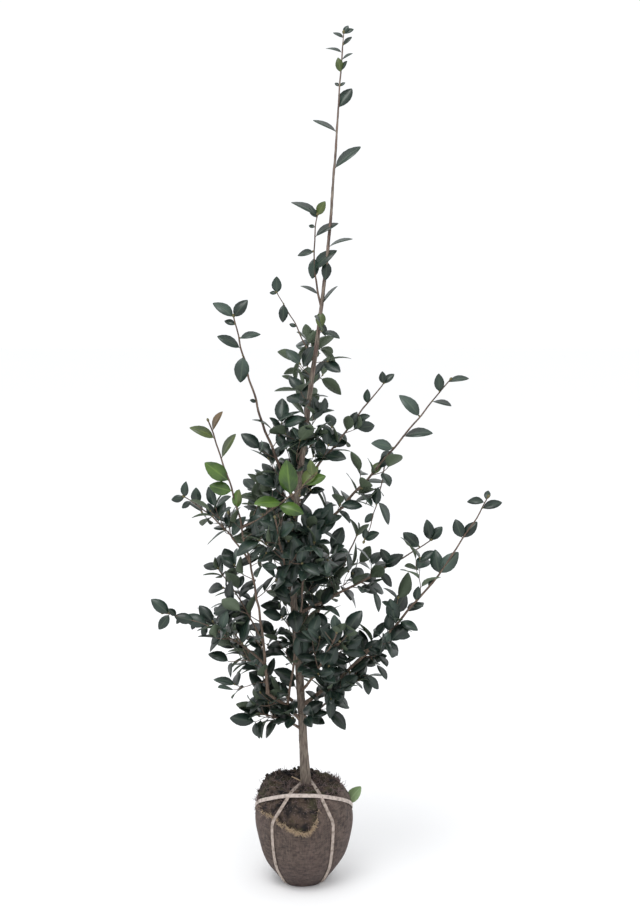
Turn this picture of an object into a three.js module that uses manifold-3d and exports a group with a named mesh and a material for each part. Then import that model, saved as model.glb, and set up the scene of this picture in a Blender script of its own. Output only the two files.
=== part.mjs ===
// A camellia shrub lifted for sale: one stem about 1.5 m tall, its boughs and masses of foliage, and its root
// ball wrapped in hessian and strapped with three flat rubber bands.
// Millimetres, +Z up. The origin is the middle of the root ball's flat underside, -Y is the shrub's front and
// +X is to the right of someone who faces that front.

import * as THREE from "three";
import { mergeVertices } from "three/addons/utils/BufferGeometryUtils.js";
import Module from "manifold-3d";

const wasm = await Module();
wasm.setup();

// ---- Driving dimensions -------------------------------------------------------------------------------------

const GAP = 0.3; // clearance between pieces that touch

const BALL_RADIUS = 98;
const BALL_HEIGHT = 193; // to the edge of the wrap
const FOOT_RADIUS = 42; // the flat that the ball has settled on
const SOIL_RADIUS = 76; // the opening of the wrap
const SOIL_HEIGHT = 8; // how far the soil swells above the wrap
const BALL_SIDES = 18;

const BAND_WIDTH = 7.5;
const BAND_THICKNESS = 1.7;
const BAND_BED = 2 * GAP; // a band stands this far off the wrap
const BAND_RECESS = 5; // how deep the ball's weight presses the bands into its foot
// Each band lies in one plane, given by the direction it faces and a point that it passes through. The two
// straps hug the stem and cross behind it, and the belt climbs over the front shoulder. In front and above the
// knee, the belt holds the straps closer together: there they lie in planes that face turnedIn, and the two
// planes of a strap meet beside the stem at the height of BALL_TOP.
const BANDS = [
  { name: "strap_left", faces: [-0.855, 0.518, 0], through: [-13.4, 0, 0], turnedIn: [-0.844, 0.181, 0.505] },
  { name: "strap_right", faces: [-0.901, -0.434, 0], through: [23.8, 0, 0], turnedIn: [-0.902, -0.158, -0.403] },
  { name: "belt_band", faces: [0, 0.56, 0.83], through: [0, 0, 154] },
];
const KNEE = 150;
const BALL_TOP = 199;
const SLAB_SIZE = 6 * BALL_RADIUS; // wider than the ball at any slant

const TRUNK_FOOT = 184; // the stem stands this high, below the soil around it
const TRUNK_TIP = 1668;
const TRUNK_RADII = [9.2, 1.2]; // at the foot and at the tip
const TRUNK_FLARE = 3; // added at the foot, where the roots spread
const TRUNK_SIDES = 8;
const TRUNK_STEPS = 17;
// How far the stem stands to the right (x) and to the back (y) of the ball's middle, at heights z.
const TRUNK_LEAN = [
  { z: TRUNK_FOOT, x: 6, y: 0 },
  { z: 430, x: -7, y: 3 },
  { z: 670, x: -21, y: 4 },
  { z: 900, x: 3, y: 0 },
  { z: 1240, x: 46, y: -4 },
  { z: TRUNK_TIP, x: 78, y: 0 },
];

const LIMB_SIDES = 5;
const LIMB_STEPS = 4;
const OVERHANG = 22; // leaves reach this far past the end of their shoot
const MASS_SIDES = 8;
const MASS_RINGS = 5;

// Each limb leaves its parent at a height, heads for a bearing (0 is right, 90 is back, 180 is left and -90 is
// front), covers a level reach and a rise, and bows out and down by some millimetres at its middle. thick is its
// radius at both ends. leafy says where along it, from 0 to 1, its foliage starts, and spread is how far that
// foliage stands off the shoot at its start and at its tip.
const LIMBS = [
  { name: "left_low", on: "trunk", at: 328, bearing: -147, reach: 91, rise: 80, bow: -5, thick: [4.6, 3.6] },
  { name: "left_tall", on: "left_low", at: 402, bearing: -160, reach: 119, rise: 556, bow: -22,
    thick: [3.6, 1.9], leafy: 0.6, spread: [34, 28] },
  { name: "front_spray", on: "left_tall", at: 738, bearing: -12, reach: 152, rise: 118, bow: 8,
    thick: [2.2, 1.6], leafy: 0.22, spread: [30, 24] },
  { name: "front_upright", on: "left_low", at: 368, bearing: -13, reach: 43, rise: 375, bow: 4,
    thick: [3.2, 1.8], leafy: 0.62, spread: [34, 30] },
  { name: "left_foot", on: "trunk", at: 312, bearing: -173, reach: 98, rise: 38, bow: -6,
    thick: [3.4, 1.8], leafy: 0.3, spread: [34, 28] },
  { name: "left_outer_low", on: "left_tall", at: 460, bearing: 177, reach: 212, rise: 103, bow: -21,
    thick: [2.6, 1.5], leafy: 0.3, spread: [32, 27] },
  { name: "left_middle", on: "left_tall", at: 506, bearing: 152, reach: 108, rise: 145, bow: -5,
    thick: [2.4, 1.4], leafy: 0.3, spread: [30, 26] },
  { name: "left_outer_high", on: "left_tall", at: 668, bearing: 155, reach: 155, rise: 122, bow: -15,
    thick: [2.4, 1.4], leafy: 0.26, spread: [36, 22] },
  { name: "left_upper", on: "trunk", at: 772, bearing: 168, reach: 124, rise: 378, bow: 13,
    thick: [4.2, 1.8], leafy: 0.56, spread: [32, 36] },
  { name: "left_twig", on: "trunk", at: 1053, bearing: 173, reach: 76, rise: 143, bow: -1,
    thick: [1.9, 1.2], leafy: 0.34, spread: [17, 17] },
  { name: "twin_leader", on: "trunk", at: 1160, bearing: 180, reach: 4, rise: 186, bow: 12,
    thick: [2.6, 1.4], leafy: 0.42, spread: [22, 24] },
  { name: "right_crest", on: "trunk", at: 800, bearing: 19, reach: 186, rise: 214, bow: 2,
    thick: [3.6, 1.5], leafy: 0.24, spread: [36, 20] },
  { name: "right_upper", on: "trunk", at: 660, bearing: -8, reach: 312, rise: 372, bow: 6,
    thick: [4.6, 1.5], leafy: 0.26, spread: [34, 26] },
  { name: "right_hanging", on: "right_upper", at: 872, bearing: -150, reach: 52, rise: -172, bow: 6,
    thick: [1.6, 1.1], leafy: 0.3, spread: [20, 17] },
  { name: "right_middle", on: "trunk", at: 548, bearing: 11, reach: 286, rise: 146, bow: 5,
    thick: [4.2, 1.5], leafy: 0.26, spread: [34, 27] },
  { name: "right_lower", on: "trunk", at: 362, bearing: -9, reach: 370, rise: 446, bow: 33,
    thick: [4.8, 1.5], leafy: 0.26, spread: [40, 24] },
  { name: "right_foot", on: "trunk", at: 318, bearing: -12, reach: 122, rise: 112, bow: -8,
    thick: [3.6, 1.6], leafy: 0.3, spread: [32, 28] },
  { name: "front_low", on: "trunk", at: 392, bearing: -62, reach: 158, rise: 168, bow: 10,
    thick: [3.8, 1.8], leafy: 0.34, spread: [36, 32] },
  { name: "front_middle", on: "trunk", at: 590, bearing: -104, reach: 136, rise: 190, bow: 8,
    thick: [3.6, 1.8], leafy: 0.3, spread: [34, 30] },
  { name: "back_low", on: "trunk", at: 404, bearing: 84, reach: 214, rise: 196, bow: 12,
    thick: [4, 1.8], leafy: 0.3, spread: [40, 32] },
  { name: "back_left_low", on: "trunk", at: 352, bearing: 146, reach: 202, rise: 170, bow: 10,
    thick: [4, 1.8], leafy: 0.32, spread: [38, 32] },
  { name: "back_right", on: "trunk", at: 486, bearing: 52, reach: 204, rise: 200, bow: 10,
    thick: [4, 1.8], leafy: 0.32, spread: [38, 30] },
  { name: "back_left_high", on: "trunk", at: 566, bearing: 112, reach: 178, rise: 240, bow: 12,
    thick: [4, 1.8], leafy: 0.3, spread: [40, 30] },
  { name: "back_high", on: "trunk", at: 856, bearing: 84, reach: 128, rise: 236, bow: 10,
    thick: [3, 1.6], leafy: 0.34, spread: [32, 26] },
];

// Foliage that stands round the stem itself: the heights between which it grows, how far it stands off the stem
// at both, and how far its middle is pushed to the right (x) and to the back (y).
const STEM_FOLIAGE = [
  { name: "core_lower", from: 382, to: 606, spread: [56, 76], x: 4, y: 8 },
  { name: "core_middle", from: 564, to: 812, spread: [78, 74], x: -8, y: 10 },
  { name: "core_upper", from: 768, to: 992, spread: [74, 50], x: -6, y: 8 },
  { name: "leader_low", from: 962, to: 1166, spread: [48, 38], x: 4, y: 2 },
  { name: "leader_middle", from: 1150, to: 1388, spread: [32, 30], x: 10, y: 2 },
  { name: "leader_high", from: 1380, to: 1586, spread: [28, 24], x: 0, y: 0 },
  { name: "leader_tip", from: 1584, to: 1692, spread: [20, 20], x: 0, y: 0 },
];

// ---- Colours and finishes -----------------------------------------------------------------------------------

const material = (color, roughness) => new THREE.MeshStandardMaterial({ color, roughness, metalness: 0 });
const BARK = material(0x84746a, 0.9);
const YOUNG_BARK = material(0x6f5449, 0.8);
const LEAF = material(0x2e3f33, 0.45);
const HESSIAN = material(0x5f4d43, 0.95);
const SOIL = material(0x2f2621, 1);
const RUBBER = material(0xb39f90, 0.6);

// ---- Solids -------------------------------------------------------------------------------------------------

// A closed three.js geometry as a solid that can be cut and joined.
function solidOf(geometry) {
  const bare = geometry.clone();
  bare.deleteAttribute("normal");
  bare.deleteAttribute("uv");
  const merged = mergeVertices(bare, 1e-3);
  return new wasm.Manifold(
    new wasm.Mesh({
      numProp: 3,
      vertProperties: new Float32Array(merged.attributes.position.array),
      triVerts: new Uint32Array(merged.index.array),
    }),
  );
}

function geometryOf(solid) {
  const mesh = solid.getMesh();
  return new THREE.BufferGeometry()
    .setAttribute("position", new THREE.BufferAttribute(new Float32Array(mesh.vertProperties), 3))
    .setIndex(new THREE.BufferAttribute(new Uint32Array(mesh.triVerts), 1));
}

const joined = (solids) => solids.reduce((whole, solid) => whole.add(solid));
const cutBy = (solid, cutters) => cutters.reduce((rest, cutter) => rest.subtract(cutter), solid);

// A cut can leave crumbs beside the piece itself, which is the largest body.
function largestBody(solid) {
  return solid.decompose().reduce((best, body) => (body.volume() > best.volume() ? body : best));
}

const group = new THREE.Group();

function addPiece(name, solid, finish) {
  const piece = new THREE.Mesh(geometryOf(largestBody(solid)), finish);
  piece.name = name;
  group.add(piece);
}

// ---- Root ball ----------------------------------------------------------------------------------------------

// Half of the ball's outline as radius and height, from above its foot to the edge of the wrap.
const WRAP_OUTLINE = [
  [FOOT_RADIUS + 11, 9],
  [0.86 * BALL_RADIUS, 0.29 * BALL_HEIGHT],
  [BALL_RADIUS, 0.65 * BALL_HEIGHT],
  [0.95 * BALL_RADIUS, 0.89 * BALL_HEIGHT],
  [SOIL_RADIUS, BALL_HEIGHT],
];
const SOIL_OUTLINE = [
  [0.86 * SOIL_RADIUS, BALL_HEIGHT + 0.5 * SOIL_HEIGHT],
  [0.55 * SOIL_RADIUS, BALL_HEIGHT + 0.9 * SOIL_HEIGHT],
  [0.2 * SOIL_RADIUS, BALL_HEIGHT + SOIL_HEIGHT],
];

// Turns an outline round the Z axis, closed by a flat at each end, and dents it as a soft ball is dented.
function turned(outline) {
  const first = outline[0];
  const last = outline[outline.length - 1];
  const profile = [[0, first[1]], ...outline, [0, last[1]]].map(([radius, height]) => new THREE.Vector2(radius, height));
  const geometry = new THREE.LatheGeometry(profile, BALL_SIDES).rotateX(Math.PI / 2);
  const place = geometry.attributes.position;
  for (let i = 0; i < place.count; i += 1) {
    const angle = Math.atan2(place.getY(i), place.getX(i));
    const dent = 1 + 0.02 * Math.sin(3 * angle + 0.8) + 0.014 * Math.sin(5 * angle + 0.02 * place.getZ(i));
    place.setX(i, place.getX(i) * dent);
    place.setY(i, place.getY(i) * dent);
  }
  return solidOf(geometry);
}

// The ball and its soil as one solid, grown by a level above the surface. Its foot stays above the ball's own.
function ballAtLevel(level) {
  const outline = [[FOOT_RADIUS, 0], ...WRAP_OUTLINE, ...SOIL_OUTLINE];
  const grown = outline.map(([radius, height], i) => {
    if (i === 0) return [radius + level, BAND_RECESS - level];
    const before = outline[i - 1];
    const after = outline[i + 1] ?? [0, height];
    const along = new THREE.Vector2(after[0] - before[0], after[1] - before[1]).normalize();
    return [radius + level * along.y, height - level * along.x];
  });
  return turned(grown);
}

// Everything within half a band's width of a plane.
function slabAt(faces, through, grown) {
  const slab = new THREE.BoxGeometry(BAND_WIDTH + 2 * grown, SLAB_SIZE, SLAB_SIZE);
  const facing = new THREE.Vector3(...faces).normalize();
  const turn = new THREE.Quaternion().setFromUnitVectors(new THREE.Vector3(1, 0, 0), facing);
  return solidOf(slab.applyQuaternion(turn).translate(...through));
}

// Everything within half a band's width of the band's plane or planes.
function slabOf({ faces, through, turnedIn }, grown) {
  const slab = slabAt(faces, through, grown);
  if (!turnedIn) return slab;
  const size = SLAB_SIZE;
  const front = solidOf(new THREE.BoxGeometry(size, size, size).translate(0, -size / 2, KNEE + size / 2));
  const [x, y] = through;
  return slab.subtract(front).add(slabAt(turnedIn, [x, y, BALL_TOP], grown).intersect(front));
}

// The bands in the order in which they were put on: each rises over those already there where it crosses them.
function bandSolids() {
  const top = BAND_BED + BAND_THICKNESS;
  const bed = ballAtLevel(BAND_BED);
  const flat = ballAtLevel(top).subtract(bed);
  const raised = ballAtLevel(top + GAP + BAND_THICKNESS).subtract(bed);
  const bump = 3; // a band starts to rise this far before the one below it
  return BANDS.map((band, i) => {
    const below = BANDS.slice(0, i);
    const bumps = below.map((other) => slabOf(other, bump).intersect(raised));
    const cuts = below.map((other) => slabOf(other, GAP).intersect(ballAtLevel(top + GAP)));
    return cutBy(slabOf(band, 0).intersect(joined([flat, ...bumps])), cuts);
  });
}

// Under the foot, the straps lie in grooves.
const footGrooves = BANDS.map((band) => slabOf(band, GAP).subtract(ballAtLevel(BAND_BED - GAP)));
const wrap = turned([[FOOT_RADIUS, 0], ...WRAP_OUTLINE]);
const soil = turned([[SOIL_RADIUS - 2, BALL_HEIGHT + GAP], ...SOIL_OUTLINE]);

// ---- Lines of the stem and the limbs ------------------------------------------------------------------------

// The share of a line's length at which it reaches a height, found by halving.
function shareAtHeight(line, height) {
  let low = 0;
  let high = 1;
  for (let i = 0; i < 30; i += 1) {
    const middle = (low + high) / 2;
    if (line.getPointAt(middle).z < height) low = middle;
    else high = middle;
  }
  return low;
}

// From the parent's line to the tip, past a middle that bows out and down in the limb's own upright plane.
function limbLine(parentLine, { at, bearing, reach, rise, bow }) {
  const start = parentLine.getPointAt(shareAtHeight(parentLine, at));
  const turn = THREE.MathUtils.degToRad(bearing);
  const outwards = new THREE.Vector3(Math.cos(turn), Math.sin(turn), 0);
  const up = new THREE.Vector3(0, 0, 1);
  const tip = start.clone().addScaledVector(outwards, reach).addScaledVector(up, rise);
  const length = Math.hypot(reach, rise);
  // A curve with one control point passes half as far out as that point lies.
  const control = start.clone().lerp(tip, 0.5);
  control.addScaledVector(outwards, (2 * bow * rise) / length).addScaledVector(up, (-2 * bow * reach) / length);
  return new THREE.QuadraticBezierCurve3(start, control, tip);
}

// The stretch of a line between two shares of its length, carried straight on past its end by some millimetres.
function stretchOf(line, from, to, past = 0) {
  const pieces = 8;
  const points = [];
  for (let i = 0; i <= pieces; i += 1) points.push(line.getPointAt(from + ((to - from) * i) / pieces));
  if (past > 0) points.push(points[pieces].clone().addScaledVector(line.getTangentAt(to), past));
  return new THREE.CatmullRomCurve3(points);
}

// ---- Limbs and foliage --------------------------------------------------------------------------------------

// Bends an upright unit geometry along a line. alongOf gives a vertex's share of the line, from 0 to 1, and
// radiusAt gives the distance from the line at that share and that angle round it.
function bendAlong(geometry, line, steps, alongOf, radiusAt) {
  const frames = line.computeFrenetFrames(steps);
  const points = line.getSpacedPoints(steps);
  const place = geometry.attributes.position;
  const vertex = new THREE.Vector3();
  for (let i = 0; i < place.count; i += 1) {
    vertex.fromBufferAttribute(place, i);
    const step = Math.round(alongOf(vertex) * steps);
    const angle = Math.atan2(vertex.z, vertex.x);
    const onAxis = Math.hypot(vertex.x, vertex.z) < 1e-4;
    const radius = onAxis ? 0 : radiusAt(step / steps, angle);
    vertex.copy(points[step]);
    vertex.addScaledVector(frames.normals[step], radius * Math.cos(angle));
    vertex.addScaledVector(frames.binormals[step], -radius * Math.sin(angle));
    place.setXYZ(i, vertex.x, vertex.y, vertex.z);
  }
  return geometry;
}

// A tapering limb along a line, thicker by some clearance when it is to cut its neighbours.
function limbSolid(line, radiusAt, sides, steps, grown = 0) {
  const upright = new THREE.CylinderGeometry(1, 1, 1, sides, steps);
  return solidOf(bendAlong(upright, line, steps, (vertex) => vertex.y + 0.5, (share) => radiusAt(share) + grown));
}

// An uneven mass of foliage along a line: a sphere drawn out along it, with swells that differ from mass to mass.
function massSolid(line, [start, end], seed, grown = 0) {
  const ball = new THREE.SphereGeometry(1, MASS_SIDES, MASS_RINGS);
  const along = (vertex) => 1 - Math.acos(THREE.MathUtils.clamp(vertex.y, -1, 1)) / Math.PI;
  const radiusAt = (share, angle) => {
    const rounded = (4 * share * (1 - share)) ** 0.42;
    const swell = 0.15 * Math.sin(2 * angle + 1.7 * seed) + 0.13 * Math.sin(7 * share + 3 * angle + 2.3 * seed);
    return THREE.MathUtils.lerp(start, end, share) * rounded * (1 + swell) + grown;
  };
  return solidOf(bendAlong(ball, line, MASS_RINGS, along, radiusAt));
}

const trunkLine = new THREE.CatmullRomCurve3(TRUNK_LEAN.map(({ x, y, z }) => new THREE.Vector3(x, y, z)));
const trunkLength = TRUNK_TIP - TRUNK_FOOT;

function trunkRadius(share) {
  const [foot, tip] = TRUNK_RADII;
  return tip + (foot - tip) * (1 - share) ** 0.9 + TRUNK_FLARE * Math.exp((-share * trunkLength) / 20);
}

const trunk = limbSolid(trunkLine, trunkRadius, TRUNK_SIDES, TRUNK_STEPS);
const trunkCut = limbSolid(trunkLine, trunkRadius, TRUNK_SIDES, TRUNK_STEPS, GAP);

// Every limb with its line and its radius, each starting on the line of its parent.
const limbs = [];
const lines = { trunk: trunkLine };
for (const limb of LIMBS) {
  const line = limbLine(lines[limb.on], limb);
  lines[limb.name] = line;
  limbs.push({ ...limb, line, radiusAt: (share) => THREE.MathUtils.lerp(limb.thick[0], limb.thick[1], share) });
}

// The foliage round the stem comes first, and the foliage of the limbs is cut by it and by each other.
const masses = [];
STEM_FOLIAGE.forEach(({ name, from, to, spread, x, y }, seed) => {
  const top = Math.min(to, TRUNK_TIP);
  const shares = [from, top].map((height) => shareAtHeight(trunkLine, height));
  const line = stretchOf(trunkLine, ...shares, to - top);
  line.points.forEach((point) => point.add(new THREE.Vector3(x, y, 0)));
  masses.push({ name, line, spread, seed });
});
limbs.filter(({ leafy }) => leafy).forEach(({ name, line, leafy, spread }, i) => {
  masses.push({ name, line: stretchOf(line, leafy, 1, OVERHANG), spread, seed: STEM_FOLIAGE.length + i });
});

// A limb stops at the foliage it bears, which hides the rest of it.
const limbCuts = [];
for (const { name, line, radiusAt, leafy = 1 } of limbs) {
  const own = masses.filter((mass) => mass.name === name);
  const ownCuts = own.map((mass) => massSolid(mass.line, mass.spread, mass.seed, GAP));
  const end = Math.min(leafy + 0.2, 1);
  const shown = stretchOf(line, 0, end);
  const shownRadius = (share) => radiusAt(share * end);
  const solid = cutBy(limbSolid(shown, shownRadius, LIMB_SIDES, LIMB_STEPS), [trunkCut, ...limbCuts, ...ownCuts]);
  addPiece(`bough_${name}`, solid, name === "left_low" ? BARK : YOUNG_BARK);
  limbCuts.push(limbSolid(shown, shownRadius, LIMB_SIDES, LIMB_STEPS, GAP));
}

const massCuts = [];
for (const { name, line, spread, seed } of masses) {
  const solid = cutBy(massSolid(line, spread, seed), [trunkCut, ...limbCuts, ...massCuts]);
  addPiece(`foliage_${name}`, solid, LEAF);
  massCuts.push(massSolid(line, spread, seed, GAP));
}

addPiece("trunk", trunk, BARK);
addPiece("root_ball", cutBy(wrap, [trunkCut, ...footGrooves]), HESSIAN);
addPiece("soil_mound", soil.subtract(trunkCut), SOIL);
bandSolids().forEach((solid, i) => addPiece(BANDS[i].name, solid, RUBBER));

export default group;
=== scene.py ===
"""A camellia shrub lifted for sale, standing on its root ball.

Metres, +Z up. The origin is the middle of the root ball's flat underside, -Y is the shrub's front.
"""

import math
import random

import bmesh
import bpy
from mathutils import Matrix, Vector, geometry, noise


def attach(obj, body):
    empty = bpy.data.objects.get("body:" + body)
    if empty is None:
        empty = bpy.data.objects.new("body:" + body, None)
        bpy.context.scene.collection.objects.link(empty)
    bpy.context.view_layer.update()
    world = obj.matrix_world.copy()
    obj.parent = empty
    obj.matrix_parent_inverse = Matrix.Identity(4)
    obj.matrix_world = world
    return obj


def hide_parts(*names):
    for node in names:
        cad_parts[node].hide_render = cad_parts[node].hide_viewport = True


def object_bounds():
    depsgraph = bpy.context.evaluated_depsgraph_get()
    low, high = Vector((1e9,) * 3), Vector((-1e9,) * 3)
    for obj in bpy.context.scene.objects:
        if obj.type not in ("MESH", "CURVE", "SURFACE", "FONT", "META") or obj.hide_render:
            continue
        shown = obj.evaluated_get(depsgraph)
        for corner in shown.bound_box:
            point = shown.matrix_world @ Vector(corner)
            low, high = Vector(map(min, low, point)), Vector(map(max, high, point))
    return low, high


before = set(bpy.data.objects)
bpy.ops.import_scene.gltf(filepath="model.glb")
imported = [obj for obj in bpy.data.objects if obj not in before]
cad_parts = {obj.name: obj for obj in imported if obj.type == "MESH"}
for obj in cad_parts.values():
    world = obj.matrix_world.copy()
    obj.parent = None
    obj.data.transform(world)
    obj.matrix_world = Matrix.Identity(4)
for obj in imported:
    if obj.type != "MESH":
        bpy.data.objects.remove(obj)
cad_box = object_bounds()

MM = 0.001


# ---- The studio ----------------------------------------------------------------------------------
# A plain pale floor without a horizon under an even white sky, with one wide soft lamp overhead and in front.
# The camera stands 3 m off at the height of the crown and looks a little down.

def linear(hex_value):
    """The linear colour of an sRGB hex value such as 0x84746A."""
    channels = [(hex_value >> shift & 255) / 255 for shift in (16, 8, 0)]
    return [c / 12.92 if c <= 0.04045 else ((c + 0.055) / 1.055) ** 2.4 for c in channels] + [1.0]


def add(material, kind, inputs, **settings):
    """Adds a node to a material: inputs are socket names or numbers with a value or an output to link."""
    tree = material.node_tree
    node = tree.nodes.new("ShaderNode" + kind)
    for name, value in settings.items():
        setattr(node, name, value)
    for name, value in inputs.items():
        if isinstance(value, bpy.types.NodeSocket):
            tree.links.new(value, node.inputs[name])
        else:
            node.inputs[name].default_value = value
    return node


def new_material(name, roughness):
    """A material with its shader and its object coordinates."""
    material = bpy.data.materials.new(name)
    material.use_nodes = True
    material.node_tree.nodes.clear()
    shader = add(material, "BsdfPrincipled", {"Roughness": roughness})
    add(material, "OutputMaterial", {"Surface": shader.outputs[0]})
    return material, shader, add(material, "TexCoord", {}).outputs["Object"]


def piece_of(name, mesh, materials):
    """Puts a finished mesh into the scene as a piece of the shrub."""
    piece = bpy.data.objects.new(name, mesh)
    bpy.context.scene.collection.objects.link(piece)
    for material in materials:
        mesh.materials.append(material)
    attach(piece, "root")
    return piece


def mesh_of(name, shape, smooth=False):
    """The finished mesh of a bmesh, which is used up."""
    if smooth:
        for face in shape.faces:
            face.smooth = True
    mesh = bpy.data.meshes.new(name)
    shape.to_mesh(mesh)
    shape.free()
    return mesh


scene = bpy.context.scene
scene.view_settings.view_transform = "Standard"

FLOOR_REACH = 12.0  # metres each way
shape = bmesh.new()
bmesh.ops.create_grid(shape, x_segments=1, y_segments=1, size=FLOOR_REACH)
floor_mesh = mesh_of("floor", shape)
floor = bpy.data.objects.new("floor", floor_mesh)
scene.collection.objects.link(floor)
# Matt painted board: no gloss, so that the floor and the sky meet without a line.
paint, paint_shader, _ = new_material("pale floor paint", 1.0)
paint_shader.inputs["Base Color"].default_value = linear(0xFAFAFA)
floor_mesh.materials.append(paint)

world = bpy.data.worlds.new("white sky")
scene.world = world
world.use_nodes = True
sky = world.node_tree.nodes["Background"]
sky.inputs["Color"].default_value = linear(0xFCFDFF)
sky.inputs["Strength"].default_value = 1.06

LAMP_PLACE = Vector((-0.8, -1.6, 4.2))
LAMP_TARGET = Vector((0, 0, 0.7))
lamp_data = bpy.data.lights.new("sky lamp", "AREA")
lamp_data.shape = "DISK"
lamp_data.size = 2.2
lamp_data.energy = 60
lamp = bpy.data.objects.new("sky lamp", lamp_data)
lamp.location = LAMP_PLACE
lamp.rotation_euler = (LAMP_TARGET - LAMP_PLACE).to_track_quat("-Z", "Y").to_euler()
scene.collection.objects.link(lamp)

CAMERA_PLACE = (0.034, -3.0, 1.35)
CAMERA_TILT = math.radians(9.14)  # below the horizontal
FOCAL_SHARE = 1.7042  # focal length over the height of the picture
SENSOR = 24.0
camera_data = bpy.data.cameras.new("camera")
camera_data.sensor_fit = "VERTICAL"
camera_data.sensor_height = SENSOR
camera_data.lens = FOCAL_SHARE * SENSOR
camera = bpy.data.objects.new("camera", camera_data)
camera.location = CAMERA_PLACE
camera.rotation_euler = (math.pi / 2 - CAMERA_TILT, 0, 0)
scene.collection.objects.link(camera)
scene.camera = camera


# ---- Root ball: soil -----------------------------------------------------------------------------
# Damp dark field soil, dug up with the roots and still in one lump. It shows on top round the stem and where
# the wrap is torn open in front. Crumbs, bits of root and shreds of leaf mould lie loose on it.

UP = Vector((0, 0, 1))
# Radius and height of the ball's outline, from its flat foot to the opening of the wrap.
BALL_OUTLINE = [(0, 0), (42, 0), (53, 9), (84, 56), (98, 125), (93, 172), (76, 193)]
SOIL_TOP = 197 * MM
SHOULDER = 0.62  # the share of the soil's skin that is its side
BALL_TURN_STEPS = 168
CRUMBS = 950


def aimed(turn, slope=0.0):
    """The direction at a bearing, so far above the level."""
    return Vector((math.cos(turn) * math.cos(slope), math.sin(turn) * math.cos(slope), math.sin(slope)))


def dent(angle, height):
    """How far the soft ball is out of round, as a factor on its radius."""
    return 1 + 0.02 * math.sin(3 * angle + 0.8) + 0.014 * math.sin(5 * angle + 20 * height)


def outline_at(share):
    """Radius and height on the outline, at a share of its corners, rounded by a Catmull-Rom curve."""
    place = min(max(share, 0.0), 1.0) * (len(BALL_OUTLINE) - 1)
    corner = min(int(place), len(BALL_OUTLINE) - 2)
    t = place - corner
    around = [BALL_OUTLINE[min(max(corner + k, 0), len(BALL_OUTLINE) - 1)] for k in (-1, 0, 1, 2)]
    point = []
    for a, b, c, d in zip(*around):
        bent = 2 * b + (c - a) * t + (2 * a - 5 * b + 4 * c - d) * t**2 + (3 * b - a - 3 * c + d) * t**3
        point.append(0.5 * bent)
    return max(point[0], 0) * MM, max(point[1], 0) * MM


def next_ring(shape, ring, edges):
    """Extrudes a closed ring of edges: the new ring in the order of the old one, and its edges."""
    grown = bmesh.ops.extrude_edge_only(shape, edges=edges)["geom"]
    new_edges = [g for g in grown if isinstance(g, bmesh.types.BMEdge)]
    new_verts = {g for g in grown if isinstance(g, bmesh.types.BMVert)}
    new_ring = []
    for vert in ring:
        new_ring.append(next(e.other_vert(vert) for e in vert.link_edges if e.other_vert(vert) in new_verts))
    return new_ring, new_edges


def turned(rings, place):
    """A skin round the Z axis, with its end rings: place gives a vertex by its share and its angle."""
    shape = bmesh.new()
    bmesh.ops.create_circle(shape, segments=BALL_TURN_STEPS, radius=1)
    ring, edges = list(shape.verts), list(shape.edges)
    angles = [math.atan2(v.co.y, v.co.x) for v in ring]
    foot = ring
    for number in range(rings):
        if number:
            ring, edges = next_ring(shape, ring, edges)
        for vert, angle in zip(ring, angles):
            vert.co = place(number / (rings - 1), angle)
    return shape, foot, ring


# Where the torn edge of the wrap runs: the bearing in degrees (-90 is the front, 180 the left) and the share
# of the outline that is still covered.
TEAR = [
    (-180, 0.83), (-166, 0.82), (-156, 0.8), (-147, 0.79), (-138, 0.78), (-126, 0.77), (-115, 0.755),
    (-104, 0.722), (-95, 0.702), (-86, 0.698), (-80, 0.708), (-76, 0.735), (-73.5, 0.78), (-71, 0.85),
    (-67, 0.94), (-60, 1.0), (128, 1.0), (150, 0.95), (166, 0.88), (180, 0.83),
]


def torn_share(angle):
    """The share of the outline that the wrap covers at a bearing."""
    degrees = math.degrees(angle)
    for (low, low_share), (high, high_share) in zip(TEAR, TEAR[1:]):
        if low <= degrees <= high:
            t = (degrees - low) / (high - low)
            return low_share + (high_share - low_share) * t * t * (3 - 2 * t)
    return 1.0


def tear_depth(angle):
    """How far the wrap is torn down at a bearing, from 0 to 1."""
    return min(1.0, (1 - torn_share(angle)) / 0.3)


def soil_point(share, angle):
    """The soil follows the ball a little below the wrap up to its shoulder, then closes over the top."""
    side = min(share / SHOULDER, 1.0)
    covered = 0.1 + 0.9 * side
    radius, height = outline_at(covered)
    hollow = 10 * tear_depth(angle) * max(0.0, -math.sin(angle)) * max(0.0, side - 0.6) / 0.4
    radius = (radius - (2.5 + hollow) * MM) * dent(angle, height)
    # On the left it has crumbled over the edge of the wrap.
    over_edge = min(1.0, max(0.0, covered - torn_share(angle)) * 17)
    radius += 11 * MM * over_edge * max(0.0, -math.cos(angle + 0.44)) ** 8
    if share > SHOULDER:
        inwards = (share - SHOULDER) / (1 - SHOULDER)
        radius *= 1 - inwards
        height += (SOIL_TOP - height) * min(1.0, 3 * inwards)
        heap = 9 * max(0.0, math.sin(angle - 0.3)) + 5 * max(0.0, math.sin(angle - 1.4))
        height += heap * MM * math.sin(math.pi * min(1.0, 0.12 + 1.58 * inwards))
    point = Vector((radius * math.cos(angle), radius * math.sin(angle), height))
    torn_open = 1.6 * tear_depth(angle) * min(1.0, 4 * (share - 0.35))
    bare = min(1.0, max(torn_open, (share - 0.58) * 14, 0.0))
    lumps = (noise.fractal(point * 75, 0.9, 2.1, 4) * 6.0 + 2.0) * MM * bare
    away = aimed(angle) * 0.7 + UP * (1 if share > 0.6 else 0.2)
    return point + away * lumps if height > 4 * MM else point


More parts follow.
